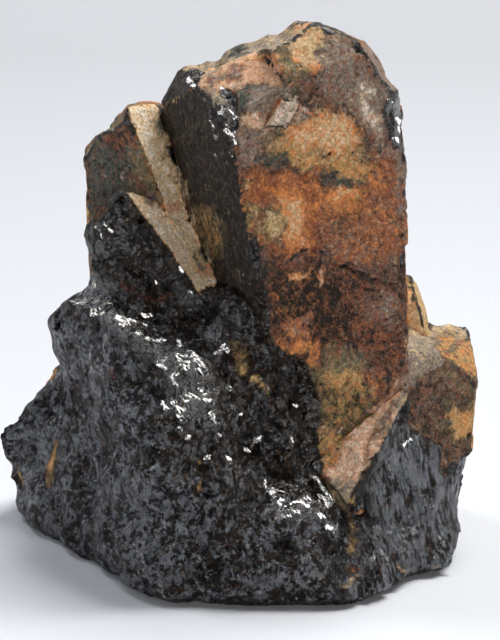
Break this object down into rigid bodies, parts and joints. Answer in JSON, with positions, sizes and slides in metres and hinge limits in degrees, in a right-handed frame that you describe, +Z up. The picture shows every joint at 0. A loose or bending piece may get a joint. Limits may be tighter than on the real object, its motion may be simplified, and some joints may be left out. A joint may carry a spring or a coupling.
{
  "type": "mineral specimen",
  "caption": "Intergrown group of tabular crystals standing on a broken, glassy ore mass, with a flat base to rest on.",
  "frame": {"origin": "on the flat underside, at the middle of the bounding box's base", "axes": "+X across the specimen to its right, +Y away from the viewer, +Z up along the tall crystal"},
  "size_m": [0.0528, 0.0382, 0.0591],
  "materials": {
    "aeschynite": "pitch-black glassy fracture, with rust, ochre and tan weathering on the crystal faces"
  },
  "bodies": {
    "root": {"specimen": "aeschynite"}
  },
  "joints": []
}
